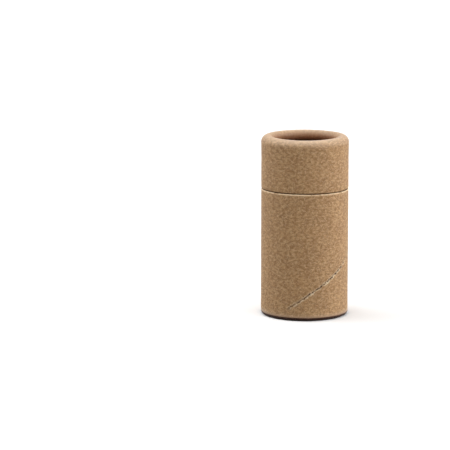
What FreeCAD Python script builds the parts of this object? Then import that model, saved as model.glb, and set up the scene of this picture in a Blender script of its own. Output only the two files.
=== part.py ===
"""Push-up lip balm tube, wound and rolled from paperboard, with a lift-off cap.

One wound tube is cut in two: the lower part is the body and the upper part is the cap.
A thinner tube with a white liner is glued inside the body and stands out of it as the
neck that the cap slides over. A board disc closes the lined tube from below, and a
finger under it pushes the balm up and out of the mouth.

Millimetres. +Z is up and is the axis of the tube. The origin is the centre of the ring
that the tube stands on.
"""

import FreeCAD, Part
import math
import os
import Sketcher

# Driving sizes: the name of the cell, its value, and what it sets.
SIZES = (
    ("tube_diameter", 27.0, "outside of the body and of the cap's wall"),
    ("tube_wall", 1.3, "wound board of the body and the cap"),
    ("body_height", 39.35, "from the ground to the shoulder where the cap seats"),
    ("cap_height", 16.35, "from the cap's cut edge to the crest of its rolled rim"),
    ("parting_gap", 0.1, "between the shoulder and the cap's cut edge"),
    ("cut_ease", 0.15, "rounding of an edge that a knife cut"),
    ("neck_length", 7.6, "how far the inner tube stands out of the body"),
    ("neck_clearance", 0.1, "round the inner tube, inside the body and the cap"),
    ("inner_wall", 1.0, "wound board of the inner tube"),
    ("liner_wall", 0.4, "greaseproof white liner"),
    ("glue_line", 0.05, "between two pieces that are glued"),
    ("disc_clearance", 0.1, "round the push-up disc, inside the liner"),
    ("disc_thickness", 4.3, "board of the push-up disc"),
    ("facing_thickness", 0.35, "greaseproof white facing on the push-up disc"),
    ("disc_ledge", 0.4, "how far the hem reaches in under the push-up disc"),
    ("hem_height", 5.2, "from the ground to the edge of the folded-in hem"),
    ("foot_radius", 1.2, "outer rounding on both sides of the hem's fold"),
    ("fold_radius", 0.3, "inner rounding of the hem's fold, where it has the room"),
    ("rim_outer_radius", 2.2, "roll of the cap's rim, on its outer side"),
    ("rim_inner_radius", 1.6, "roll of the cap's rim, down into the opening"),
    ("rim_tuck_radius", 1.7, "roll of the cap's rim, back under itself"),
    ("rim_flat", 0.1, "straight run between two roundings of the rolled rim"),
    ("rim_swell", 0.12, "how far the rolled rim stands proud of the cap's wall"),
    ("swell_length", 4.0, "length of wall over which that swelling fades out"),
    ("rim_tip_gap", 0.1, "between the end of the roll and the cap's bore"),
    ("cap_disc_thickness", 1.5, "board disc glued under the cap's roll"),
)

# Places and radii worked out from the sizes, as expressions for the sheet's cells.
OUTSIDE = "Sizes.tube_diameter / 2"
BORE = f"({OUTSIDE} - Sizes.tube_wall)"
NECK_RADIUS = f"({BORE} - Sizes.neck_clearance)"
INNER_BORE = f"({NECK_RADIUS} - Sizes.inner_wall)"
LINER_OUTSIDE = f"({INNER_BORE} - Sizes.glue_line)"
LINER_BORE = f"({LINER_OUTSIDE} - Sizes.liner_wall)"
DISC_RADIUS = f"({LINER_BORE} - Sizes.disc_clearance)"
MOUTH = "(Sizes.body_height + Sizes.neck_length)"
CAP_FOOT = "(Sizes.body_height + Sizes.parting_gap)"
CREST = f"({CAP_FOOT} + Sizes.cap_height)"

# The hem: the body's wall is folded up inside itself.
HEM_OPENING = f"({DISC_RADIUS} - Sizes.disc_ledge)"
HEM_BACK = f"({HEM_OPENING} + Sizes.tube_wall)"
FOLD_RADIUS = f"min(Sizes.fold_radius; 0.4 * ({BORE} - {HEM_BACK}))"

# The roll: the cap's wall goes over its crest and curls back under itself.
RIM_OUTSIDE = f"({OUTSIDE} + Sizes.rim_swell)"
RIM_OPENING = (
    f"({RIM_OUTSIDE} - Sizes.rim_outer_radius - Sizes.rim_flat - Sizes.rim_inner_radius)"
)
RIM_DEPTH = "(Sizes.rim_inner_radius + Sizes.rim_flat + Sizes.rim_tuck_radius)"
ROLL_UNDERSIDE = f"({CREST} - {RIM_DEPTH})"
SWELL_TOP = f"({CREST} - Sizes.rim_outer_radius)"
SWELL_FOOT = f"({SWELL_TOP} - Sizes.swell_length)"
ROLL_TIP = f"({BORE} - Sizes.rim_tip_gap)"


def make_sheet(doc):
    """The spreadsheet of driving sizes, one named cell in each row."""
    sheet = doc.addObject("Spreadsheet::Sheet", "Sizes")
    for row, (name, value, note) in enumerate(SIZES, start=1):
        sheet.set(f"A{row}", name)
        sheet.set(f"B{row}", str(value))
        sheet.set(f"C{row}", note)
        sheet.setAlias(f"B{row}", name)
    doc.recompute()


def make_body(doc, label):
    """An empty body with its label."""
    body = doc.addObject("PartDesign::Body", label)
    body.Label = label
    return body


def attach_sketch(body, name, plane):
    """A new sketch on one of the body's own origin planes."""
    sketch = body.newObject("Sketcher::SketchObject", name)
    support = [item for item in body.Origin.OriginFeatures if item.Role == plane]
    sketch.AttachmentSupport = [(support[0], "")]
    sketch.MapMode = "FlatFace"
    return sketch


def tangent_length(before, corner, after, radius):
    """How far from the corner a rounding of that radius leaves each side."""
    turn = (corner - before).getAngle(after - corner)
    return radius * math.tan(turn / 2)


def rounding(before, corner, after, radius):
    """The arc that rounds a corner, and where it leaves the side before and after."""
    length = tangent_length(before, corner, after, radius)
    start = corner + (before - corner).normalize() * length
    end = corner + (after - corner).normalize() * length
    to_centre = ((start + end) / 2 - corner).normalize()
    centre = corner + to_centre * math.hypot(length, radius)
    middle = centre - to_centre * radius
    return Part.Arc(start, middle, end), start, end


def bind(sketch, index, name, expression):
    """Name a constraint and bind it to the sheet."""
    sketch.renameConstraint(index, name)
    sketch.setExpression(f"Constraints.{name}", expression)


def end_of(sketch, index, point):
    """Which end of an arc or line lies at a point: 1 is its start and 2 its end."""
    starts_there = sketch.getPoint(index, 1).distanceToPoint(point) < 1e-6
    return 1 if starts_there else 2


def draw_outline(sketch, corners):
    """Draw a closed outline through named corners, some of them rounded.

    Each corner is (name, distance from the axis, height, rounding or None), the last
    three as expressions. A construction point holds each corner's place. The sides
    pass through it, and a rounded corner has an arc tangent to both of them.
    """
    places = [
        FreeCAD.Vector(sketch.evalExpression(across), sketch.evalExpression(up), 0)
        for _, across, up, _ in corners
    ]
    count = len(corners)
    arcs, leave, reach = {}, [], []
    for i, (_, _, _, radius) in enumerate(corners):
        here = places[i]
        leave.append(here)
        reach.append(here)
        if radius:
            size = sketch.evalExpression(radius)
            arc, reach[i], leave[i] = rounding(
                places[i - 1], here, places[(i + 1) % count], size
            )
            arcs[i] = sketch.addGeometry(arc)
    sides = [
        sketch.addGeometry(Part.LineSegment(leave[i], reach[(i + 1) % count]))
        for i in range(count)
    ]

    for i, (name, across, up, radius) in enumerate(corners):
        point = sketch.addGeometry(Part.Point(places[i]), True)
        x = sketch.addConstraint(
            Sketcher.Constraint("DistanceX", -1, 1, point, 1, places[i].x)
        )
        bind(sketch, x, f"{name}_across", across)
        y = sketch.addConstraint(
            Sketcher.Constraint("DistanceY", -1, 1, point, 1, places[i].y)
        )
        bind(sketch, y, f"{name}_up", up)
        side_in, side_out = sides[i - 1], sides[i]
        if not radius:
            for side, end in ((side_in, 2), (side_out, 1)):
                sketch.addConstraint(
                    Sketcher.Constraint("Coincident", side, end, point, 1)
                )
            continue
        arc = arcs[i]
        for side, end, place in ((side_in, 2, reach[i]), (side_out, 1, leave[i])):
            arc_end = end_of(sketch, arc, place)
            sketch.addConstraint(
                Sketcher.Constraint("Tangent", side, end, arc, arc_end)
            )
            sketch.addConstraint(
                Sketcher.Constraint("PointOnObject", point, 1, side)
            )
        size = sketch.evalExpression(radius)
        r = sketch.addConstraint(Sketcher.Constraint("Radius", arc, size))
        bind(sketch, r, f"{name}_radius", radius)


def turned_piece(doc, label, corners):
    """A piece that is the same all round: its section, revolved about the Z axis."""
    body = make_body(doc, label)
    section = attach_sketch(body, f"{label}_section", "XZ_Plane")
    draw_outline(section, corners)
    doc.recompute()
    turn = body.newObject("PartDesign::Revolution", f"{label}_turn")
    turn.Profile = section
    turn.ReferenceAxis = (section, ["V_Axis"])
    turn.Angle = 360
    section.Visibility = False
    return body


def cut_disc(doc, label, radius, thickness, height):
    """A disc die-cut from board, lying at a height above the ground."""
    body = make_body(doc, label)
    outline = attach_sketch(body, f"{label}_outline", "XY_Plane")
    size = outline.evalExpression(radius)
    circle = outline.addGeometry(
        Part.Circle(FreeCAD.Vector(0, 0, 0), FreeCAD.Vector(0, 0, 1), size)
    )
    outline.addConstraint(Sketcher.Constraint("Coincident", circle, 3, -1, 1))
    index = outline.addConstraint(Sketcher.Constraint("Radius", circle, size))
    bind(outline, index, "edge_radius", radius)
    pad = body.newObject("PartDesign::Pad", f"{label}_pad")
    pad.Profile = outline
    pad.setExpression("Length", thickness)
    outline.Visibility = False
    body.setExpression("Placement.Base.z", height)
    return body


def make_outer_tube(doc):
    """The body's wound tube, cut square at the shoulder and hemmed at its foot.

    Its wall turns in at the foot and runs back up inside as the hem, a small gap away
    from itself. The fold is pressed flat underneath, so the tube stands on a ring.
    """
    corners = [
        ("shoulder", OUTSIDE, "Sizes.body_height", "Sizes.cut_ease"),
        ("foot", OUTSIDE, "0", "Sizes.foot_radius"),
        ("fold", HEM_OPENING, "0", "Sizes.foot_radius"),
        ("hem_face", HEM_OPENING, "Sizes.hem_height", "Sizes.cut_ease"),
        ("hem_back", HEM_BACK, "Sizes.hem_height", None),
        ("hollow_inner", HEM_BACK, "Sizes.tube_wall", FOLD_RADIUS),
        ("hollow_outer", BORE, "Sizes.tube_wall", FOLD_RADIUS),
        ("shoulder_bore", BORE, "Sizes.body_height", None),
    ]
    return turned_piece(doc, "outer_tube", corners)


def make_inner_tube(doc):
    """The thinner wound tube. It stands on the hem and makes the neck and the mouth."""
    corners = [
        ("mouth_edge", NECK_RADIUS, MOUTH, "Sizes.cut_ease"),
        ("foot_edge", NECK_RADIUS, "Sizes.hem_height", None),
        ("foot_bore", INNER_BORE, "Sizes.hem_height", None),
        ("mouth_bore", INNER_BORE, MOUTH, None),
    ]
    return turned_piece(doc, "inner_tube", corners)


def make_tube_liner(doc):
    """The white greaseproof liner, wound inside the inner tube from end to end."""
    corners = [
        ("mouth_edge", LINER_OUTSIDE, MOUTH, None),
        ("foot_edge", LINER_OUTSIDE, "Sizes.hem_height", None),
        ("foot_bore", LINER_BORE, "Sizes.hem_height", None),
        ("mouth_bore", LINER_BORE, MOUTH, None),
    ]
    return turned_piece(doc, "tube_liner", corners)


def make_cap_tube(doc):
    """The cap's wound tube, cut square at its open end and rolled in at its top.

    The wall swells a little towards the rim, goes over the crest, down into the
    opening and back under itself, and its end stops just short of the bore.
    """
    corners = [
        ("cut_edge", OUTSIDE, CAP_FOOT, "Sizes.cut_ease"),
        ("cut_bore", BORE, CAP_FOOT, "Sizes.cut_ease"),
        ("swell_bore", BORE, SWELL_FOOT, None),
        (
            "crest_back",
            f"{RIM_OUTSIDE} - Sizes.tube_wall",
            f"{CREST} - Sizes.tube_wall",
            "Sizes.rim_outer_radius - Sizes.tube_wall",
        ),
        (
            "opening_back",
            f"{RIM_OPENING} + Sizes.tube_wall",
            f"{CREST} - Sizes.tube_wall",
            "Sizes.rim_inner_radius - Sizes.tube_wall",
        ),
        (
            "tuck_back",
            f"{RIM_OPENING} + Sizes.tube_wall",
            f"{ROLL_UNDERSIDE} + Sizes.tube_wall",
            "Sizes.rim_tuck_radius - Sizes.tube_wall",
        ),
        ("tip_back", ROLL_TIP, f"{ROLL_UNDERSIDE} + Sizes.tube_wall", None),
        ("tip_face", ROLL_TIP, ROLL_UNDERSIDE, None),
        ("tuck", RIM_OPENING, ROLL_UNDERSIDE, "Sizes.rim_tuck_radius"),
        ("opening", RIM_OPENING, CREST, "Sizes.rim_inner_radius"),
        ("crest", RIM_OUTSIDE, CREST, "Sizes.rim_outer_radius"),
        ("swell", OUTSIDE, SWELL_FOOT, None),
    ]
    return turned_piece(doc, "cap_tube", corners)


def make_discs(doc):
    """The push-up disc and its white facing, and the disc that closes the cap."""
    facing_height = "Sizes.hem_height + Sizes.disc_thickness"
    cap_disc_height = f"{ROLL_UNDERSIDE} - Sizes.glue_line - Sizes.cap_disc_thickness"
    cap_disc_radius = f"{BORE} - Sizes.glue_line"
    return [
        cut_disc(
            doc, "push_disc", DISC_RADIUS, "Sizes.disc_thickness", "Sizes.hem_height"
        ),
        cut_disc(
            doc, "disc_facing", DISC_RADIUS, "Sizes.facing_thickness", facing_height
        ),
        cut_disc(
            doc, "cap_disc", cap_disc_radius, "Sizes.cap_disc_thickness", cap_disc_height
        ),
    ]


def check(doc, pieces):
    """Stop if anything in the document failed, or if a piece isn't one sound solid."""
    for item in doc.Objects:
        if "Invalid" in item.State or "Error" in item.State:
            raise RuntimeError(f"{item.Name} failed: {item.State}")
        if item.TypeId == "Sketcher::SketchObject" and not item.FullyConstrained:
            raise RuntimeError(f"{item.Name} isn't fully constrained")
    for piece in pieces:
        shape = piece.Shape
        if shape.isNull() or not shape.isValid() or len(shape.Solids) != 1:
            raise RuntimeError(f"{piece.Label} isn't one sound solid")


def main():
    doc = FreeCAD.newDocument("lip_balm_tube")
    make_sheet(doc)
    pieces = [
        make_outer_tube(doc),
        make_inner_tube(doc),
        make_tube_liner(doc),
        make_cap_tube(doc),
    ]
    pieces += make_discs(doc)
    doc.recompute()
    check(doc, pieces)
    os.makedirs("parts", exist_ok=True)
    for piece in pieces:
        piece.Shape.exportStep(f"parts/{piece.Label}.step")
        box = piece.Shape.BoundBox
        print(
            f"{piece.Label}: volume {piece.Shape.Volume:.1f}, radius {box.XMax:.3f},"
            f" z {box.ZMin:.3f} to {box.ZMax:.3f}"
        )


main()
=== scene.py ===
"""The looks of a push-up lip balm tube, wound and rolled from kraft paperboard.

Lengths are millimetres here, and MM turns them to Blender's metres. +Z is up and is the
axis of the tube, and its front faces -Y.
"""

import math
from dataclasses import dataclass
from typing import NamedTuple

import bmesh
import bpy
from mathutils import Matrix, Vector, noise


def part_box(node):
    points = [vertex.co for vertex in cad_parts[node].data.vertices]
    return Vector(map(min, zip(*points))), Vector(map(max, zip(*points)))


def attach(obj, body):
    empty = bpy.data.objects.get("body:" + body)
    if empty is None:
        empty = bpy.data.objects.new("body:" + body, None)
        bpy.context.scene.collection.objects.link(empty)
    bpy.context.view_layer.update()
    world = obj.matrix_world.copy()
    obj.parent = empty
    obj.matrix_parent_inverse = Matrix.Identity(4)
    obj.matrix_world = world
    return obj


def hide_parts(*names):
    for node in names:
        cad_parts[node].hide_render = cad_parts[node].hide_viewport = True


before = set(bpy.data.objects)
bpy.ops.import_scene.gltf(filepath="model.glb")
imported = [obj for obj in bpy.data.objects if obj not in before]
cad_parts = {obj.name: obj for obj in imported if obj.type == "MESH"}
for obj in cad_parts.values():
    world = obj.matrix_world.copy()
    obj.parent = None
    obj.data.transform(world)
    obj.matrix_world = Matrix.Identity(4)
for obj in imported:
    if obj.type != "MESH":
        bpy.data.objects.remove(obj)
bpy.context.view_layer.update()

MM = 0.001  # one millimetre in metres
TURN = 2 * math.pi

# ---------------------------------------------------------------------------
# Sizes


def node_size(node):
    """The outer radius, lowest height and highest height of a CAD node, in mm."""
    low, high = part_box(node)
    return high[0] / MM, low[2] / MM, high[2] / MM


CAP_RADIUS, CAP_FOOT, CREST = node_size("cap_tube")
BODY_RADIUS, GROUND, SHOULDER = node_size("outer_tube")
NECK_RADIUS, HEM_HEIGHT, MOUTH = node_size("inner_tube")
LINER_RADIUS = node_size("tube_liner")[0]
DISC_RADIUS, DISC_FOOT, DISC_TOP = node_size("push_disc")
FACING_TOP = node_size("disc_facing")[2]
CAP_DISC_RADIUS, CAP_DISC_FOOT, CAP_DISC_TOP = node_size("cap_disc")

TUBE_WALL = 1.3
INNER_WALL = 1.0
LINER_WALL = 0.4
CUT_EASE = 0.22  # rounding of a knife-cut edge, worn a little past the knife's
SHOULDER_EASE = 0.4  # the body's shoulder is rubbed each time the cap goes on
END_FLAT = 0.3  # how much of a cut end the outer ply's outline takes in
DISC_LEDGE = 0.4  # the hem reaches in this far under the push-up disc
FOOT_ROUND = 1.2
FOLD_ROUND = 0.3
SWELL_LENGTH = 4.0  # the cap widens over this length below its roll
RIM_OUTER_ROUND = 2.2
RIM_INNER_ROUND = 1.6
RIM_TUCK_ROUND = 1.7
RIM_FLAT = 0.1
RIM_TIP_GAP = 0.1

BORE = BODY_RADIUS - TUBE_WALL
HEM_OPENING = DISC_RADIUS - DISC_LEDGE
HEM_BACK = HEM_OPENING + TUBE_WALL
RIM_OPENING = CAP_RADIUS - RIM_OUTER_ROUND - RIM_FLAT - RIM_INNER_ROUND
ROLL_UNDERSIDE = CREST - RIM_INNER_ROUND - RIM_FLAT - RIM_TUCK_ROUND

# The outer ply is a strip of paper wound as a spiral, and its edges meet in a seam.
SEAM_PITCH = 57.0  # rise of the seam in one turn
BODY_SEAM_AT_SHOULDER = math.radians(114.7)
NECK_SEAM_AT_MOUTH = math.radians(114.59)
CAP_SEAM_AT_FOOT = math.radians(-8)  # round the side, as the cap happens to be turned
LINER_SEAM_AT_FOOT = math.radians(60)
SEAM_WIDTH = 0.26
SEAM_DEPTH = 0.16
SEAM_WANDER = 0.16
LIP_RISE = 0.05  # the strip's edge on one side of the seam curls up a little
LIP_WIDTH = 0.34
SEAM_PALE_LIP_OFFSET = 0.32  # the seam's pale lips, partly rubbed and partly a painted highlight, lie this far from the middle of their gap
SEAM_WEAR = 0.8  # the seam's depth and lip are worn to this share of the full ones
SEAM_WEAR_SPREAD = 1.3
SEAM_LEAST_WEAR = 0.15
SEAM_TIGHTNESS = 0.45  # how far its glue holds it shut
SEAM_TIGHTNESS_SPREAD = 1.5
SEAM_SHUT = 0.9  # how much of it goes where it is held or pressed shut

# Small departures from a perfect shape, all of them inward from the CAD's surface.
WAVE_DEPTH = 0.05
WAVE_LENGTH = 7.0
CUT_WANDER = 0.035  # a knife cut isn't perfectly level
CUT_WANDER_REACH = 1.2
CUT_WAVES = 2.2
CUT_PLY = 0.33
CUT_PLY_RISE = 0.09  # as a share of the wander
WRINKLE_DEPTH = 0.05
WRINKLE_COUNT = 46
WRINKLE_START = 2.5  # the wrinkles deepen over this length
WRINKLE_STRAY = 5.0  # how far they stray from an even spacing, in radians of a wave
RIM_SINK = 0.25  # the roll came out a little lower on one side than on the other
RIM_SIDE_DIMMING = 0.6  # how much less painted highlight and gloss the roll gets at its left and right sides than at its front and back
DISH_DEPTH = 0.03
DISH_LENGTH = 6.0

# How finely the meshes are divided.
COLUMNS = 240
BESIDE_SEAM = (0.05, 0.1, 0.15, 0.21, 0.29, 0.39, 0.52, 0.7, 0.95)  # columns there, mm
ROW_STEP = 0.7
BACK_ROW_STEP = 1.0
ARC_STEP = 0.22
CUT_ROWS = 6
DISC_COLUMNS = 180
DISC_ROW_STEP = 0.9

# ---------------------------------------------------------------------------
# Outlines


def rounded_path(corners, row_step=ROW_STEP):
    """Points along a path through (radius, height, rounding) corners.

    Straight runs are cut into steps, and a corner with a rounding becomes an arc.
    """
    points = [Vector(corners[0][:2])]
    for before, corner, after in zip(corners, corners[1:], corners[2:]):
        here = Vector(corner[:2])
        back = (Vector(before[:2]) - here).normalized()
        ahead = (Vector(after[:2]) - here).normalized()
        rounding = corner[2]
        if not rounding:
            add_run(points, here, row_step)
            continue
        half = back.angle(ahead) / 2
        centre = here + (back + ahead).normalized() * rounding / math.sin(half)
        start = here + back * rounding / math.tan(half)
        end = here + ahead * rounding / math.tan(half)
        add_run(points, start, row_step)
        first = start - centre
        sweep = first.angle_signed(end - centre)
        steps = max(4, math.ceil(abs(sweep) * rounding / ARC_STEP))
        for i in range(1, steps + 1):
            turned = Matrix.Rotation(-sweep * i / steps, 2) @ first
            points.append(centre + turned)
    add_run(points, Vector(corners[-1][:2]), row_step)
    return points


def add_run(points, end, step):
    """Add a straight run to a path, cut into steps."""
    start = points[-1].copy()
    count = max(1, math.ceil((end - start).length / step))
    for i in range(1, count + 1):
        points.append(start.lerp(end, i / count))


def lengths_along(points):
    """The distance along a path to each of its points."""
    total = 0.0
    along = [0.0]
    for a, b in zip(points, points[1:]):
        total += (b - a).length
        along.append(total)
    return along


def cut_end(start, end):
    """The points between the two edges of a cut end, without the edges."""
    return [start.lerp(end, i / CUT_ROWS) for i in range(1, CUT_ROWS)]


def band(along, limits):
    """How far within a band of the path a place is, its two edges fading over a width."""
    if not limits:
        return 0.0
    start, end, fade = limits
    return max(0.0, min(1.0, (along - start) / fade, (end - along) / fade))


# ---------------------------------------------------------------------------
# The seam of a wound tube


def waver(along, waves, *seed):
    """Smooth noise from -1 to 1 along a path, with about so many waves in a mm."""
    return noise.noise(Vector((along * waves, *seed)))


def seam_relief(across, along):
    """Height of the outer ply near its seam, at a distance across it."""
    wear = SEAM_WEAR + SEAM_WEAR_SPREAD * waver(along, 1.1, 3.1, 7.7)
    groove = math.exp(-((across / (SEAM_WIDTH / 2)) ** 2))
    lip = math.exp(-(((across - LIP_WIDTH) / (LIP_WIDTH / 2)) ** 2))
    return (LIP_RISE * lip - SEAM_DEPTH * groove) * max(SEAM_LEAST_WEAR, wear)


def seam_wander(along):
    """How far the strip's edges, which are cut and laid a little unevenly, stray."""
    slow = waver(along, 0.45, 21.0, 4.2)
    quick = waver(along, 1.3, 5.5, 9.1)
    return SEAM_WANDER * (slow + 0.6 * quick)


def seam_tightness(along):
    """How tightly the glue holds the seam shut, which varies slowly: 1 is tight."""
    tight = SEAM_TIGHTNESS + SEAM_TIGHTNESS_SPREAD * waver(along, 0.1, 67.0, 1.5)
    return max(0.0, min(1.0, tight))


def from_seam(angle):
    """The angle from the nearer side of the seam, which is negative on one of them."""
    return angle if angle < TURN / 2 else angle - TURN


# ---------------------------------------------------------------------------
# Meshes


def new_piece(name, builder, finishes, body, node):
    """Turn a bmesh into a piece that stands for a CAD node and rides on its body."""
    bmesh.ops.remove_doubles(builder, verts=builder.verts, dist=1e-8)
    bmesh.ops.recalc_face_normals(builder, faces=builder.faces)
    mesh = bpy.data.meshes.new(name)
    builder.to_mesh(mesh)
    builder.free()
    for finish in finishes:
        mesh.materials.append(finish)
    mesh.shade_smooth()
    piece = bpy.data.objects.new(name, mesh)
    bpy.context.scene.collection.objects.link(piece)
    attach(piece, body)
    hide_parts(node)
    return piece


@dataclass
class Winding:
    """How a tube is wound, cut and pressed.

    A band is a stretch of the outer ply's path: where something starts, where it ends,
    and the width that it fades over at both, in mm.
    """

    seam_start: float  # where round the tube the seam is at the path's start, in radians
    hand: int = -1  # which way the seam turns as the path goes on
    side: int = 1  # 1 where the ply's shown face is on the left of its path, or -1
    seam: float = 1.0  # how far the seam is left open
    depth: float = 1.0  # how deep the waves and the seam are
    spared_at_ends: float = 0.0  # how far its cut ends are spared the pale line and the dark edge, which are partly wear and partly painted highlight and shade, in mm
    rolled: tuple = ()  # the band that a die has rolled and polished, and that is painted paler, partly as a painted highlight
    sides_dimmed: float = 0.0  # how much less of its polish, partly a painted highlight, it gets at its left and right sides
    pressed: tuple = ()  # the band where a die has pressed the seam shut
    standing: tuple = ()  # the band that is pressed level, and that the tube stands on
    sunk: tuple = ()  # the band that came out lower on one side
    wrinkled_from: float = math.inf  # where the ply starts to gather in wrinkles
    painted_shade: tuple = ()  # the band painted dark brown to near black, as painted shade
    painted_shade_strength: float = 1.0  # how dark the painted shade is


class Row(NamedTuple):
    """A point of a tube's section, how far along the outer ply it is, and its kind."""

    point: Vector
    along: float
    kind: str  # "face", "back" or "cut"


class WoundTube:
    """A tube wound from a strip of paper, its section closed by two cut ends.

    face and back are the outlines of its outer and inner plies, face from the first cut
    end to the second and back the other way. The mesh has a ring of vertices for each
    row of the section, and its columns follow the seam.
    """

    def __init__(self, face, back, winding):
        face = rounded_path(face)
        back = rounded_path(back, BACK_ROW_STEP)
        face_along = lengths_along(face)
        back_along = lengths_along(back)
        self.winding = winding
        self.length = face_along[-1]
        self.widest = max(point.x for point in face)
        self.turn_per_mm = winding.hand * TURN / SEAM_PITCH
        scale = self.length / back_along[-1]
        returning = [self.length - along * scale for along in back_along]
        last_cut = cut_end(face[-1], back[0])
        first_cut = cut_end(back[-1], face[0])
        self.rows = [Row(point, along, "face") for point, along in zip(face, face_along)]
        self.rows += [Row(point, self.length, "cut") for point in last_cut]
        self.rows += [Row(point, along, "back") for point, along in zip(back, returning)]
        self.rows += [Row(point, 0.0, "cut") for point in first_cut]

        # Angles from the seam for the columns, which are close together beside it.
        slope = math.atan2(SEAM_PITCH, TURN * self.widest)
        self.angle_per_mm = 1 / (self.widest * math.sin(slope))
        near = [mm * self.angle_per_mm for mm in BESIDE_SEAM]
        room = TURN - 2 * near[-1]
        between = [near[-1] + room * i / COLUMNS for i in range(1, COLUMNS)]
        self.angles = [0.0] + near + between + [TURN - a for a in reversed(near)]

    def across_seam(self, angle, along):
        """The distance from the seam, measured across it."""
        return from_seam(angle) / self.angle_per_mm + seam_wander(along)

    def facing(self, k):
        """The direction in which the shown side of the ply looks at a row."""
        behind = self.rows[k - 1].point
        ahead = self.rows[(k + 1) % len(self.rows)].point
        tangent = (ahead - behind).normalized()
        return Vector((-tangent.y, tangent.x)) * self.winding.side

    def lift(self, point, along, around, across, open_seam):
        """How far the outer ply stands from its CAD surface, which is never outside it."""
        spot = Vector((point.x * math.cos(around), point.x * math.sin(around), along))
        wave = noise.noise(spot / WAVE_LENGTH) * 0.5 - 0.5
        lift = WAVE_DEPTH * wave - LIP_RISE
        lift += seam_relief(across, along) * open_seam
        if along > self.winding.wrinkled_from:
            grown = min(1.0, (along - self.winding.wrinkled_from) / WRINKLE_START)
            stray = WRINKLE_STRAY * noise.noise(Vector((around * 2.0, 0.3, 0.0)))
            gather = 0.5 + 0.5 * math.sin(around * WRINKLE_COUNT + stray)
            lift -= WRINKLE_DEPTH * grown * gather
        return lift * self.winding.depth * (1 - band(along, self.winding.standing))

    def end_wander(self, point, along, around):
        """How far a cut end rises or falls."""
        from_end = min(along, self.length - along)
        near = max(0.0, 1 - from_end / CUT_WANDER_REACH)
        x = math.cos(around) * CUT_WAVES
        y = math.sin(around) * CUT_WAVES
        wave = noise.noise(Vector((x, y, along * 0.1))) - 0.5
        ply = CUT_PLY_RISE * math.sin(point.x * TURN / CUT_PLY)
        return CUT_WANDER * near * near * (wave + ply)

    def lay_rings(self, builder):
        """Lay a ring of vertices for each row, marked with what was done to it and with its
        painted shade.
        """
        winding = self.winding
        rolled_mark = builder.verts.layers.float.new("rolled")
        # This mark says where the foot and the inside of the roll are painted dark, as
        # painted shade.
        painted_shade_mark = builder.verts.layers.float.new("painted_shade")
        seam_mark = builder.verts.layers.float.new("open_seam")
        grid = []
        for k, (point, along, kind) in enumerate(self.rows):
            rolled = band(along, winding.rolled)
            painted_shade = band(along, winding.painted_shade) * winding.painted_shade_strength
            sunk = band(along, winding.sunk) if kind == "face" else 0.0
            shut = max(rolled, band(along, winding.pressed), seam_tightness(along))
            open_seam = (1 - SEAM_SHUT * shut) * winding.seam
            facing = self.facing(k)
            ring = []
            for angle in self.angles:
                around = winding.seam_start + angle + self.turn_per_mm * along
                place = point
                if kind == "face":
                    across = self.across_seam(angle, along)
                    lift = self.lift(point, along, around, across, open_seam)
                    place = point + facing * lift
                height = place.y + self.end_wander(point, along, around)
                height -= sunk * RIM_SINK * max(0.0, -math.sin(around)) ** 2
                x = place.x * math.cos(around)
                y = place.x * math.sin(around)
                corner = builder.verts.new(Vector((x, y, height)) * MM)
                # The polish, partly a painted highlight, is dimmed at the left and right
                # sides, so that the crest is brightest at the front.
                corner[rolled_mark] = rolled * (1 - winding.sides_dimmed * math.cos(around) ** 2)
                corner[painted_shade_mark] = painted_shade
                corner[seam_mark] = open_seam
                ring.append(corner)
            grid.append(ring)
        return grid

    def is_cut(self, row, following):
        """Whether the faces between two rows lie on a cut end."""
        flat = END_FLAT + 1e-4
        places = (row.along, following.along)
        on_flat = max(places) < flat or min(places) > self.length - flat
        return "cut" in (row.kind, following.kind) or (on_flat and row.kind == "face")

    def join_rings(self, builder, grid):
        """Join the rings with faces, unrolled as a flat sheet and from their edges."""
        sheet = builder.loops.layers.uv.new("paper")
        edges = builder.loops.layers.uv.new("edges")
        columns = len(self.angles)
        for k, row in enumerate(self.rows):
            after = (k + 1) % len(self.rows)
            following = self.rows[after]
            cut = self.is_cut(row, following)
            for i in range(columns):
                j = (i + 1) % columns
                corners = (grid[k][i], grid[k][j], grid[after][j], grid[after][i])
                quad = builder.faces.new(corners)
                quad.material_index = 1 if cut else 0
                start = self.angles[i]
                end = self.angles[j] or TURN
                angles = (start, end, end, start)
                places = (row.along, row.along, following.along, following.along)
                for loop, angle, along in zip(quad.loops, angles, places):
                    around = angle + self.turn_per_mm * along
                    loop[sheet].uv = (around * self.widest, along)
                    from_end = min(along, self.length - along) + self.winding.spared_at_ends
                    loop[edges].uv = (self.across_seam(angle, along), from_end)


def wound_tube(name, face, back, winding, finishes, body, node):
    """Build a wound tube as a piece that stands for a CAD node."""
    tube = WoundTube(face, back, winding)
    builder = bmesh.new()
    tube.join_rings(builder, tube.lay_rings(builder))
    return new_piece(name, builder, finishes, body, node)


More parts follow.
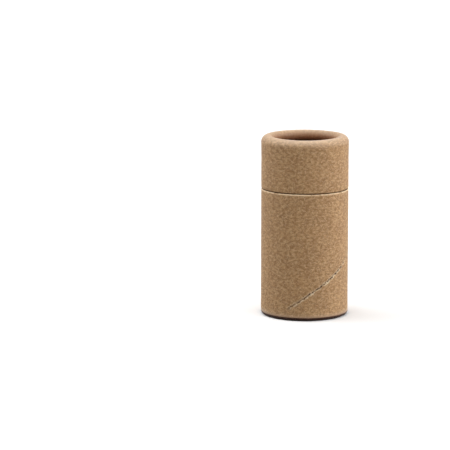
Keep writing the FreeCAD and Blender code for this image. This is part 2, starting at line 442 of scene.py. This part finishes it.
def board_disc(name, radius, low, high, ease, finishes, body, node):
    """A die-cut board disc: two flat faces, and an edge crushed a little by the die."""
    outline = [(0, low, 0), (radius, low, ease), (radius, high, ease), (0, high, 0)]
    path = rounded_path(outline, DISC_ROW_STEP)
    builder = bmesh.new()
    sheet = builder.loops.layers.uv.new("paper")
    edges = builder.loops.layers.uv.new("edges")
    grid = []
    for point in path:
        ring = []
        for i in range(DISC_COLUMNS):
            around = TURN * i / DISC_COLUMNS
            spot = Vector((point.x * math.cos(around), point.x * math.sin(around), 0))
            dish = DISH_DEPTH * (noise.noise(spot / DISH_LENGTH) - 1)
            spot.z = point.y + (dish if point.y > low else 0)
            ring.append(builder.verts.new(spot * MM))
        grid.append(ring)
    for k in range(len(path) - 1):
        edge = min(path[k].x, path[k + 1].x) > radius - ease / 2
        for i in range(DISC_COLUMNS):
            j = (i + 1) % DISC_COLUMNS
            corners = [grid[k][i], grid[k][j], grid[k + 1][j], grid[k + 1][i]]
            if path[k].x == 0:
                corners = [grid[k][0], grid[k + 1][j], grid[k + 1][i]]
            elif path[k + 1].x == 0:
                corners = [grid[k][i], grid[k][j], grid[k + 1][0]]
            face = builder.faces.new(corners)
            face.material_index = 1 if edge else 0
            for loop in face.loops:
                loop[sheet].uv = loop.vert.co.xy / MM
                loop[edges].uv = (radius, radius - loop.vert.co.xy.length / MM)
    loose = [v for v in builder.verts if not v.link_faces]
    bmesh.ops.delete(builder, geom=loose, context="VERTS")
    return new_piece(name, builder, finishes, body, node)


# ---------------------------------------------------------------------------
# Materials


def linear(code):
    """An sRGB hex colour as linear red, green, blue and alpha."""
    values = [int(code[i : i + 2], 16) / 255 for i in (1, 3, 5)]
    return [
        v / 12.92 if v <= 0.04045 else ((v + 0.055) / 1.055) ** 2.4 for v in values
    ] + [1.0]


def connect(tree, node, inputs):
    """Set or link a node's inputs, by name or in their order.

    A value may be a number, a vector, a colour, a socket, or a node to link from.
    """
    sockets = [socket for socket in node.inputs if socket.enabled]
    if isinstance(inputs, dict):
        sockets = [node.inputs[name] for name in inputs]
        inputs = inputs.values()
    for socket, value in zip(sockets, inputs):
        if isinstance(value, bpy.types.Node):
            value = next(output for output in value.outputs if output.enabled)
        if isinstance(value, bpy.types.NodeSocket):
            tree.links.new(value, socket)
        else:
            socket.default_value = value


def add(tree, kind, inputs=(), **settings):
    """Add a node to a tree, with its settings and its inputs."""
    node = tree.nodes.new("ShaderNode" + kind)
    for name, value in settings.items():
        setattr(node, name, value)
    connect(tree, node, inputs)
    return node


def new_material(name):
    """A new material, its node tree and its shader."""
    material = bpy.data.materials.new(name)
    material.use_nodes = True
    return material, material.node_tree, material.node_tree.nodes["Principled BSDF"]


def tinted(tree, colour, tone, most, *limits):
    """A colour with a tone laid over it, by a share of at most a given one.

    Each of the limits is a pattern, its value where none of the tone shows, and its
    value where all of it does. The tone shows where all the patterns let it.
    """
    share = most
    for pattern, none, full in limits:
        inputs = (pattern, none, full, 0.0, share)
        share = add(tree, "MapRange", inputs, interpolation_type="SMOOTHSTEP")
    return add(tree, "Mix", (share, colour, linear(tone)), data_type="RGBA")


def fibres(tree, paper, spacing, width, seed):
    """Single curled fibres lying every way, one to each cell of a scatter, in mm.

    Each is as long as its cell leaves room for, bends to one side and tapers off.
    """
    moved = add(tree, "VectorMath", (paper, (seed, -seed, 0)), operation="ADD")
    inputs = {"Vector": moved, "Scale": 1 / spacing}
    cells = add(tree, "TexVoronoi", inputs, voronoi_dimensions="2D")
    middle = cells.outputs["Position"]
    chances = add(tree, "SeparateColor", (cells.outputs["Color"],)).outputs
    from_middle = add(tree, "VectorMath", (moved, middle), operation="SUBTRACT")
    turn = add(tree, "Math", (chances[0], TURN), operation="MULTIPLY")
    inputs = {"Vector": from_middle, "Angle": turn}
    laid = add(tree, "VectorRotate", inputs, rotation_type="Z_AXIS")
    place = add(tree, "SeparateXYZ", (laid,)).outputs
    bend = add(tree, "Math", (place[0], 2.0), operation="POWER")
    bend = add(tree, "Math", (bend, chances[1]), operation="MULTIPLY")
    bend = add(tree, "Math", (bend, 0.9 / spacing), operation="MULTIPLY")
    across = add(tree, "Math", (place[1], bend), operation="SUBTRACT")
    across = add(tree, "Math", (across,), operation="ABSOLUTE")
    along = add(tree, "Math", (place[0],), operation="ABSOLUTE")
    shown = 1.0
    for value, none, full in (
        (chances[2], 0.1, 0.9),
        (along, spacing * 0.6, spacing * 0.3),
        (across, width * 0.6, width * 0.2),
    ):
        inputs = (value, none, full, 0.0, shown)
        shown = add(tree, "MapRange", inputs, interpolation_type="SMOOTHSTEP")
    return shown


def kraft_paper(name, tones, fleck):
    """Unbleached kraft paper, calendered on the machine and glued in plies into board.

    It gives the eye a matt warm brown with a little gloss at a grazing angle, a grain
    that runs along the strip, pale and dark fibres lying every way, and a few dark
    shives. The fibres are drawn about five times as coarse as real ones, so that they
    show.
    """
    material, tree, shader = new_material(name)
    shade, middle, light = tones
    paper = add(tree, "UVMap", uv_map="paper")
    winding = math.atan2(SEAM_PITCH, TURN * BODY_RADIUS)
    inputs = {"Vector": paper, "Rotation": (0, 0, -winding), "Scale": (0.6, 1, 1)}
    laid = add(tree, "Mapping", inputs)

    # Each pattern's lumps in mm, how finely they break up, and how rough that is.
    lumps = ((paper, 5.0, 3.0, 0.6), (paper, 1.3, 2.0, 0.6), (laid, 0.7, 5.0, 0.78))
    cloud, patches, grain = (
        add(
            tree,
            "TexNoise",
            {"Vector": over, "Scale": 1 / size, "Detail": detail, "Roughness": crumb},
            noise_dimensions="2D",
        )
        for over, size, detail, crumb in lumps
    )
    colour = tinted(tree, linear(middle), shade, 0.5, (cloud, 0.32, 0.68))
    colour = tinted(tree, colour, light, 0.35, (patches, 0.50, 0.72))
    colour = tinted(tree, colour, light, 0.95, (grain, 0.48, 0.635))
    colour = tinted(tree, colour, shade, 0.95, (grain, 0.50, 0.355))

    # Two scatters of each sort of fibre: their spacing, width and seed, in mm.
    pale = [fibres(tree, paper, *scatter) for scatter in ((1.3, 0.13, 3.1), (0.8, 0.11, 7.7))]
    pale = add(tree, "Math", pale, operation="MAXIMUM")
    share = add(tree, "Math", (pale, 0.6), operation="MULTIPLY")
    colour = tinted(tree, colour, fleck, share)
    dark = [fibres(tree, paper, *scatter) for scatter in ((1.1, 0.12, 5.3), (0.7, 0.10, 9.9))]
    dark = add(tree, "Math", dark, operation="MAXIMUM")
    share = add(tree, "Math", (dark, 0.75), operation="MULTIPLY")
    colour = tinted(tree, colour, shade, share)

    inputs = {"Vector": laid, "Scale": 0.9}
    cells = add(tree, "TexVoronoi", inputs, voronoi_dimensions="2D")
    chance = add(tree, "SeparateColor", (cells.outputs["Color"],))
    shives = (cells.outputs["Distance"], 0.15, 0.05)
    colour = tinted(tree, colour, "#6B4E36", 0.45, shives, (chance, 0.80, 0.85))

    colour = worn_edges_with_painted_light(tree, colour, grain, patches, fleck)
    colour, burnished, painted_shade = polish_and_painted_shade(tree, colour, grain)
    rough = add(tree, "Math", (grain, 0.16, 0.6), operation="MULTIPLY_ADD")
    rough = add(tree, "Math", (painted_shade, 0.2, rough), operation="MULTIPLY_ADD")
    height = add(tree, "Math", (pale, 0.35, grain), operation="MULTIPLY_ADD")
    height = add(tree, "Math", (dark, -0.3, height), operation="MULTIPLY_ADD")
    inputs = {"Height": height, "Strength": 0.6, "Distance": 0.07 * MM}
    surface = {
        "Base Color": colour,
        "Roughness": rough,
        "Specular IOR Level": 0.3,
        "Sheen Weight": 0.04,
        "Coat Weight": burnished,
        "Coat Roughness": 0.36,
        "Normal": add(tree, "Bump", inputs),
    }
    connect(tree, shader, surface)
    return material


def worn_edges_with_painted_light(tree, colour, grain, patches, fleck):
    """Paint the open seam of a wound tube dark here and there, as painted shade,
    and pale its edges, partly as rubbed fibres and partly as a painted highlight.

    The strip's edge on one side of the seam stands a little higher, so it is rubbed
    more and gets more of the painted highlight, and the fibres of a knife-cut edge are
    rubbed and painted pale too, with painted shade at the edge itself. Where glue or
    the rolling die has pressed the seam shut, it hardly shows.
    """
    places = add(tree, "UVMap", uv_map="edges")
    across, from_end = add(tree, "SeparateXYZ", (places,)).outputs[:2]
    open_here = add(tree, "Attribute", attribute_name="open_seam").outputs["Fac"]
    fray = add(tree, "Math", (grain, 0.5), operation="SUBTRACT")
    side = add(tree, "Math", (fray, 1.8, across), operation="MULTIPLY_ADD")
    from_lips = []
    for lip in (SEAM_PALE_LIP_OFFSET, -SEAM_PALE_LIP_OFFSET, 0.0):
        distance = add(tree, "Math", (side, lip), operation="SUBTRACT")
        from_lips.append(add(tree, "Math", (distance,), operation="ABSOLUTE"))
    proud, other, gap = from_lips

    # The seam's lips are painted pale, partly as rubbed fibres and partly as a painted
    # highlight, more on the proud side.
    rubbed_lip_and_highlight = "#EAD5B3"
    less = add(tree, "Math", (open_here, 0.4), operation="MULTIPLY")
    here_and_there = (patches, 0.36, 0.54)
    colour = tinted(tree, colour, rubbed_lip_and_highlight, open_here, (proud, 0.30, 0.12), here_and_there)
    colour = tinted(tree, colour, rubbed_lip_and_highlight, less, (other, 0.28, 0.08))
    # The seam's gap is painted dark here and there, as painted shade.
    between_them = (patches, 0.66, 0.50)
    colour = tinted(tree, colour, "#452812", open_here, (gap, 0.24, 0.12), between_them)

    # A pale line of loose fibres, partly a painted highlight, lies just inside a cut edge,
    # and the edge itself is painted dark as painted shade in the joint.
    from_cut = add(tree, "Math", (fray, 0.5, from_end), operation="MULTIPLY_ADD")
    worn_and_highlit = (from_cut, 1.15, 0.9), (from_cut, 0.5, 0.65), (patches, 0.30, 0.50)
    colour = tinted(tree, colour, fleck, 1.0, *worn_and_highlit)
    return tinted(tree, colour, "#4A3020", 0.8, (from_cut, 0.6, 0.45))


def polish_and_painted_shade(tree, colour, grain):
    """Pale the paper where the die has polished it, partly as a painted highlight, and
    paint it dark brown to near black as painted shade under the foot and in the roll.

    It gives the colour, how far the paper is burnished, and how far the painted shade
    reaches.
    """
    rolled = add(tree, "Attribute", attribute_name="rolled").outputs["Fac"]
    painted_shade = add(tree, "Attribute", attribute_name="painted_shade").outputs["Fac"]
    uneven = add(tree, "Math", (grain, 1.2, 0.4), operation="MULTIPLY_ADD")
    painted_shade = add(tree, "Math", (painted_shade, uneven), operation="MULTIPLY")
    unshaded = add(tree, "Math", (1.0, painted_shade), operation="SUBTRACT")
    burnished = add(tree, "Math", (rolled, unshaded), operation="MULTIPLY")
    polish_and_highlight = add(tree, "Math", (burnished, 0.34), operation="MULTIPLY")
    # The polished band is painted paler, partly a paler burnished tone and partly a painted
    # highlight on the crest.
    colour = tinted(tree, colour, "#F0D8BC", polish_and_highlight)
    # Painted shade: dark brown, then near black, under the foot and inside the cap's roll.
    colour = tinted(tree, colour, "#6E3A20", 0.8, (painted_shade, 0.0, 0.6))
    colour = tinted(tree, colour, "#1C0C06", 0.9, (painted_shade, 0.3, 1.0))
    return colour, burnished, painted_shade


def cut_board(name, tones, ply, glue_line=0.0):
    """Wound paperboard cut through with a rotary knife, its plies a few tenths thick.

    It gives the eye the plies as thin rings, pale in the middle and dark with glue where
    they meet, one of these at the radius glue_line. The cut is darker than the face.
    """
    material, tree, shader = new_material(name)
    dark, pale = tones
    place = add(tree, "TexCoord").outputs["Object"]
    x, y = add(tree, "SeparateXYZ", (place,)).outputs[:2]
    flat = add(tree, "CombineXYZ", (x, y))
    radius = add(tree, "VectorMath", (flat,), operation="LENGTH")
    inputs = {"Vector": place, "Scale": 1 / (0.5 * MM), "Detail": 3.0}
    fluff = add(tree, "TexNoise", inputs)

    # Counted in plies from the glue line, with the joints bent a little by the fluff.
    bent = add(tree, "Math", (fluff, 0.5), operation="SUBTRACT")
    bent = add(tree, "Math", (bent, 0.12 / ply), operation="MULTIPLY")
    inputs = (radius, 1 / (ply * MM), bent)
    plies = add(tree, "Math", inputs, operation="MULTIPLY_ADD")
    plies = add(tree, "Math", (plies, glue_line / ply), operation="SUBTRACT")
    plies = add(tree, "Math", (plies,), operation="FRACT")
    from_middle = add(tree, "Math", (plies, 0.5), operation="SUBTRACT")
    from_middle = add(tree, "Math", (from_middle,), operation="ABSOLUTE")
    line = 0.13 / ply
    glue = (from_middle, 0.5 - line, 0.5 - line * 0.4)
    colour = tinted(tree, linear(pale), dark, 1.0, glue)
    colour = tinted(tree, colour, dark, 0.5, (fluff, 0.62, 0.3))

    height = add(tree, "Math", (fluff, from_middle), operation="SUBTRACT")
    inputs = {"Height": height, "Strength": 0.7, "Distance": 0.08 * MM}
    surface = {
        "Base Color": colour,
        "Roughness": 0.93,
        "Specular IOR Level": 0.1,
        "Normal": add(tree, "Bump", inputs),
    }
    connect(tree, shader, surface)
    return material


def greaseproof_paper(name):
    """White greaseproof paper, beaten hard and pressed smooth against a mandrel.

    It gives the eye an even warm white with a soft gloss, faintly clouded, and a thin
    grey line where the strip's edges are lapped.
    """
    material, tree, shader = new_material(name)
    paper = add(tree, "UVMap", uv_map="paper")
    inputs = {"Vector": paper, "Scale": 1 / 3.0, "Detail": 4.0, "Roughness": 0.6}
    cloud = add(tree, "TexNoise", inputs, noise_dimensions="2D")
    places = add(tree, "UVMap", uv_map="edges")
    across = add(tree, "SeparateXYZ", (places,))
    across = add(tree, "Math", (across,), operation="ABSOLUTE")
    colour = tinted(tree, linear("#DFDBD0"), "#E9E6DD", 1.0, (cloud, 0.25, 0.75))
    colour = tinted(tree, colour, "#9A988A", 0.45, (across, 0.3, 0.12))

    inputs = {"Height": cloud, "Strength": 0.4, "Distance": 0.05 * MM}
    surface = {
        "Base Color": colour,
        "Roughness": 0.38,
        "Coat Weight": 0.15,
        "Coat Roughness": 0.25,
        "Normal": add(tree, "Bump", inputs),
    }
    connect(tree, shader, surface)
    return material


# Kraft papers take their shade, middle and light tones, and the tone of a pale fibre.
KRAFT = kraft_paper("wound_kraft_paper", ("#9B744E", "#BA9063", "#D0AA7E"), "#EDD0A9")
NECK_KRAFT = kraft_paper("neck_kraft_paper", ("#AE875D", "#C69E72", "#D8B287"), "#F0D8B4")
DISC_KRAFT = kraft_paper(
    "pressed_kraft_board", ("#94704A", "#AE865C", "#C39A6E"), "#DEBE94"
)
KNIFE_CUT = cut_board("knife_cut_board", ("#3F2A1B", "#8C6D4E"), ply=0.43)
NECK_GLUE_LINE = NECK_RADIUS - INNER_WALL + 0.14
NECK_CUT = cut_board(
    "neck_cut_board", ("#3A281B", "#D3B48E"), ply=0.95, glue_line=NECK_GLUE_LINE
)
DIE_CUT = cut_board("die_cut_board", ("#6A4C31", "#A8845F"), ply=0.45)
GREASEPROOF = greaseproof_paper("white_greaseproof_paper")
LINER_EDGE = cut_board("greaseproof_cut_edge", ("#CFC9BC", "#ECE9E1"), ply=0.2)

# ---------------------------------------------------------------------------
# Pieces


def make_body_tube():
    """The body's tube: down its wall, under its foot and up the hem inside."""
    inset = SHOULDER_EASE + END_FLAT
    face = [
        (BODY_RADIUS - inset, SHOULDER, 0),
        (BODY_RADIUS, SHOULDER, SHOULDER_EASE),
        (BODY_RADIUS, GROUND, FOOT_ROUND),
        (HEM_OPENING, GROUND, FOOT_ROUND),
        (HEM_OPENING, HEM_HEIGHT, CUT_EASE),
        (HEM_OPENING + inset, HEM_HEIGHT, 0),
    ]
    back = [
        (HEM_BACK, HEM_HEIGHT, 0),
        (HEM_BACK, TUBE_WALL, FOLD_ROUND),
        (BORE, TUBE_WALL, FOLD_ROUND),
        (BORE, SHOULDER, 0),
    ]
    foot = SHOULDER - GROUND - FOOT_ROUND  # the foot turns in half a mm further along
    winding = Winding(
        seam_start=BODY_SEAM_AT_SHOULDER,
        rolled=(foot - 0.4, foot + 3.2, 1.0),
        pressed=(foot - 3.4, foot + 3.2, 1.8),
        standing=(foot + 0.4, foot + 4.3, 1.4),
        # The foot's rounding is painted dark brown to near black, as painted shade where it
        # curls under towards the floor.
        painted_shade=(foot + 0.42, foot + 2.4, 0.4),
    )
    finishes = [KRAFT, KNIFE_CUT]
    piece = wound_tube("body_tube", face, back, winding, finishes, "body", "outer_tube")


def make_neck():
    """The inner tube: its outer ply shows on the neck above the shoulder."""
    inset = CUT_EASE + END_FLAT
    bore = NECK_RADIUS - INNER_WALL
    face = [
        (NECK_RADIUS - inset, MOUTH, 0),
        (NECK_RADIUS, MOUTH, CUT_EASE),
        (NECK_RADIUS, HEM_HEIGHT, 0),
    ]
    back = [(bore, HEM_HEIGHT, 0), (bore, MOUTH, 0)]
    winding = Winding(seam_start=NECK_SEAM_AT_MOUTH, seam=0.5, spared_at_ends=0.3)
    finishes = [NECK_KRAFT, NECK_CUT]
    piece = wound_tube("neck_tube", face, back, winding, finishes, "body", "inner_tube")


def make_liner():
    """The white liner: its shown face is the inner one, so the path runs up the bore."""
    bore = LINER_RADIUS - LINER_WALL
    face = [(bore, HEM_HEIGHT, 0), (bore, MOUTH, 0)]
    back = [(LINER_RADIUS, MOUTH, 0), (LINER_RADIUS, HEM_HEIGHT, 0)]
    winding = Winding(seam_start=LINER_SEAM_AT_FOOT, hand=1, depth=0.4)
    finishes = [GREASEPROOF, LINER_EDGE]
    piece = wound_tube("white_liner", face, back, winding, finishes, "body", "tube_liner")


def make_cap():
    """The cap's tube: up its wall, over the crest and round into the roll."""
    inset = CUT_EASE + END_FLAT
    swell_foot = CREST - RIM_OUTER_ROUND - SWELL_LENGTH
    tip = BORE - RIM_TIP_GAP
    face = [
        (BODY_RADIUS - inset, CAP_FOOT, 0),
        (BODY_RADIUS, CAP_FOOT, CUT_EASE),
        (BODY_RADIUS, swell_foot, 0),
        (CAP_RADIUS, CREST, RIM_OUTER_ROUND),
        (RIM_OPENING, CREST, RIM_INNER_ROUND),
        (RIM_OPENING, ROLL_UNDERSIDE, RIM_TUCK_ROUND),
        (tip, ROLL_UNDERSIDE, 0),
    ]
    inside = CREST - TUBE_WALL
    above = ROLL_UNDERSIDE + TUBE_WALL
    back = [
        (tip, above, 0),
        (RIM_OPENING + TUBE_WALL, above, RIM_TUCK_ROUND - TUBE_WALL),
        (RIM_OPENING + TUBE_WALL, inside, RIM_INNER_ROUND - TUBE_WALL),
        (CAP_RADIUS - TUBE_WALL, inside, RIM_OUTER_ROUND - TUBE_WALL),
        (BORE, swell_foot, 0),
        (BORE, CAP_FOOT, 0),
    ]
    roll = CREST - CAP_FOOT - RIM_OUTER_ROUND  # the roll starts 0.4 mm further along
    opening = roll + RIM_OUTER_ROUND * math.pi / 2 + RIM_FLAT
    inner_end = opening + 12.0  # well past the hidden end of the roll
    winding = Winding(
        seam_start=CAP_SEAM_AT_FOOT,
        hand=1,
        side=-1,
        # The cap's foot edge faces down, so it is spared the painted highlight and the
        # painted dark edge.
        spared_at_ends=0.8,
        # The roll's crest is painted paler, partly as a painted highlight.
        rolled=(roll, inner_end, 2.5),
        sides_dimmed=RIM_SIDE_DIMMING,
        sunk=(roll, opening + 4.5, 2.5),
        wrinkled_from=roll + 2.2,
        # The inside of the roll is painted darker, as painted shade down in the cap's
        # opening.
        painted_shade=(opening + 0.3, inner_end, 4.0),
        painted_shade_strength=0.6,
    )
    finishes = [KRAFT, KNIFE_CUT]
    piece = wound_tube("cap_tube_rolled", face, back, winding, finishes, "cap", "cap_tube")


def make_push_up_disc():
    """The disc that a finger pushes up, and its white facing."""
    disc = board_disc(
        "push_up_disc", DISC_RADIUS, DISC_FOOT, DISC_TOP, 0.25,
        [DISC_KRAFT, DIE_CUT], "pusher", "push_disc",
    )
    facing = board_disc(
        "disc_white_facing", DISC_RADIUS, DISC_TOP, FACING_TOP, 0.12,
        [GREASEPROOF, LINER_EDGE], "pusher", "disc_facing",
    )


def make_cap_disc():
    """The disc that closes the cap under its roll."""
    disc = board_disc(
        "cap_top_disc", CAP_DISC_RADIUS, CAP_DISC_FOOT, CAP_DISC_TOP, 0.2,
        [DISC_KRAFT, DIE_CUT], "cap", "cap_disc",
    )


make_body_tube()
make_neck()
make_liner()
make_cap()
make_push_up_disc()
make_cap_disc()

# ---------------------------------------------------------------------------
# Studio

# Azimuth and elevation in degrees, how tight the light is, and how strong.
SOFT_BOXES = (
    (-105, 35, 6, 3.25),
    (-80, 8, 20, 1.0),
    (105, 8, 6, 3.95),
    (50, 8, 20, 6.4),
    (0, 68, 20, 4.3),
    (180, 20, 6, 1.0),
)
FLOOR_REACH = 6.0  # metres each way from the tube
CAMERA_PLACE = Vector((-24.55, -804.1, 170.76))
CAMERA_LENS = 211.9
CAMERA_SENSOR = 36.0
CAMERA_TILT = 0.1762  # radians below level
CAMERA_CLIP = (0.05, 50.0)  # metres


def shown_white(tree):
    """1 for a ray that shows the background itself, and 0 for one that lights."""
    rays = add(tree, "LightPath").outputs
    seen = rays["Is Camera Ray"]
    for name in ("Is Glossy Ray", "Is Transmission Ray"):
        seen = add(tree, "Math", (seen, rays[name]), operation="MAXIMUM")
    return seen


def make_floor():
    """A pale floor that reads as white where the tube's shadow doesn't reach."""
    builder = bmesh.new()
    bmesh.ops.create_grid(builder, x_segments=1, y_segments=1, size=FLOOR_REACH)
    mesh = bpy.data.meshes.new("floor")
    builder.to_mesh(mesh)
    builder.free()
    floor = bpy.data.objects.new("floor", mesh)
    bpy.context.scene.collection.objects.link(floor)
    material, tree, shader = new_material("matt_pale_floor")
    colour = tinted(tree, linear("#3F3F3F"), "#FFFFFF", shown_white(tree))
    surface = {"Base Color": colour, "Roughness": 1.0, "Specular IOR Level": 0.0}
    connect(tree, shader, surface)
    mesh.materials.append(material)


def towards(azimuth, elevation):
    """The direction of a light, from 0 at the front round to the right, in degrees."""
    aside = math.radians(azimuth)
    up = math.radians(elevation)
    level = math.cos(up)
    return (math.sin(aside) * level, -math.cos(aside) * level, math.sin(up))


def make_world():
    """A white surround, lit as by soft boxes at both sides and a broad one overhead."""
    world = bpy.data.worlds.new("white_surround")
    bpy.context.scene.world = world
    world.use_nodes = True
    tree = world.node_tree
    direction = add(tree, "TexCoord")
    light = 0.0
    for azimuth, elevation, tightness, strength in SOFT_BOXES:
        inputs = (direction, towards(azimuth, elevation))
        lobe = add(tree, "VectorMath", inputs, operation="DOT_PRODUCT")
        lobe = add(tree, "Math", (lobe, 0.0), operation="MAXIMUM")
        lobe = add(tree, "Math", (lobe, tightness), operation="POWER")
        light = add(tree, "Math", (lobe, strength, light), operation="MULTIPLY_ADD")
    power = add(tree, "Mix", (shown_white(tree), light, 1.0), data_type="FLOAT")
    inputs = {"Color": linear("#FFFFFF"), "Strength": power}
    connect(tree, tree.nodes["Background"], inputs)


def make_camera():
    """The camera stands well back with a long lens, and looks down a little."""
    camera = bpy.data.cameras.new("camera")
    camera.sensor_width = CAMERA_SENSOR
    camera.lens = CAMERA_LENS
    camera.clip_start = CAMERA_CLIP[0]
    camera.clip_end = CAMERA_CLIP[1]
    holder = bpy.data.objects.new("camera", camera)
    holder.location = CAMERA_PLACE * MM
    holder.rotation_euler = (math.pi / 2 - CAMERA_TILT, 0, 0)
    bpy.context.scene.collection.objects.link(holder)
    bpy.context.scene.camera = holder


make_floor()
make_world()
make_camera()
bpy.context.scene.view_settings.view_transform = "Standard"
